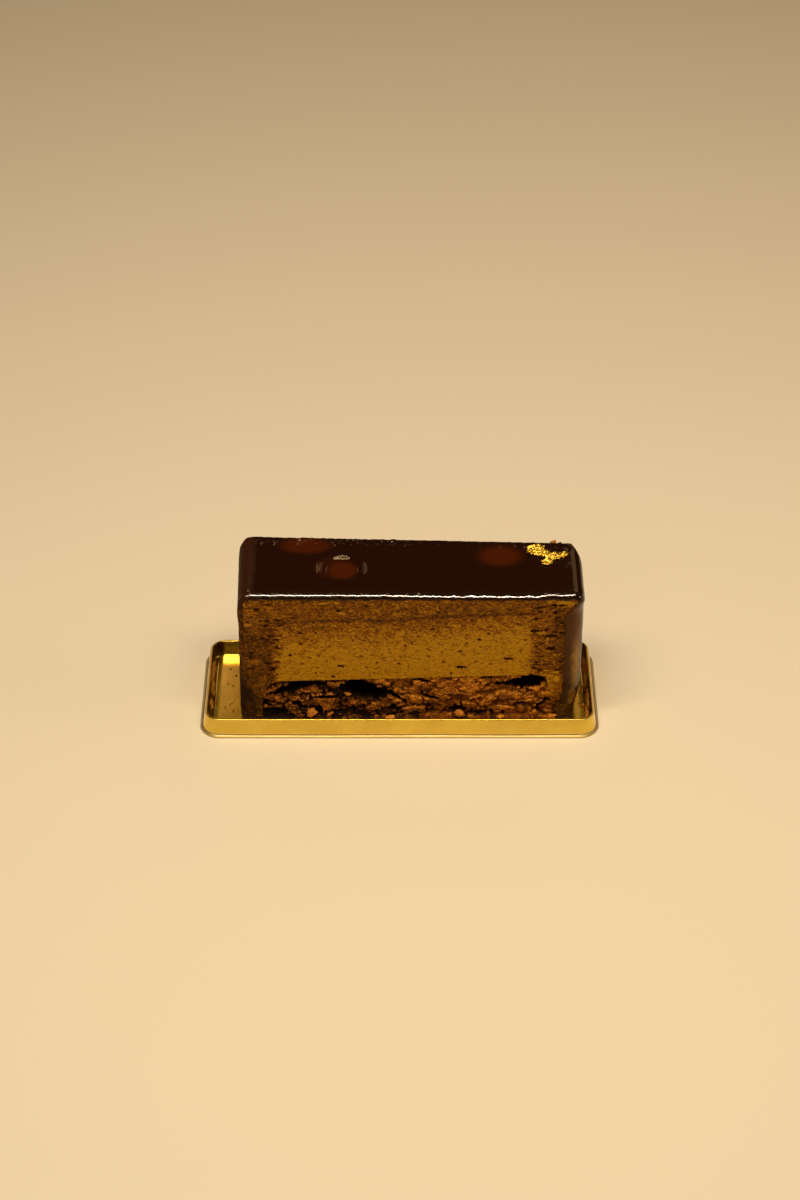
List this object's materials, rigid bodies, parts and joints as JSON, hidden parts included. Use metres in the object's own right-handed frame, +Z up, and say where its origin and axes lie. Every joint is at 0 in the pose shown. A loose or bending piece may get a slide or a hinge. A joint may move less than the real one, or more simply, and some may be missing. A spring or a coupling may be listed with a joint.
{
  "type": "chocolate cake",
  "caption": "Rectangular slice of chocolate mousse cake with dark glaze on its top and ends, a pale cream insert, a crumbly biscuit base and gold leaf, in a shallow gold tray.",
  "frame": {"origin": "centre of the tray's foot, on the surface that the tray stands on", "axes": "+X along the slice, +Y from the front cut to the back cut, +Z up"},
  "size_m": [0.128, 0.045, 0.0519],
  "materials": {
    "tray": "mirror-like gold film on thin pressed plastic sheet",
    "glaze": "wet, mirror-smooth dark chocolate glaze",
    "mousse": "moist aerated milk-brown mousse, cut with a knife",
    "insert": "smooth pale cream with fine opened pores",
    "base": "crumbly dark chocolate biscuit",
    "gold_leaf": "crumpled gold foil"
  },
  "bodies": {
    "root": {"tray": "tray", "glaze": "glaze", "mousse": "mousse", "insert": "insert", "base": "base", "gold_leaf": "gold_leaf"}
  },
  "joints": []
}
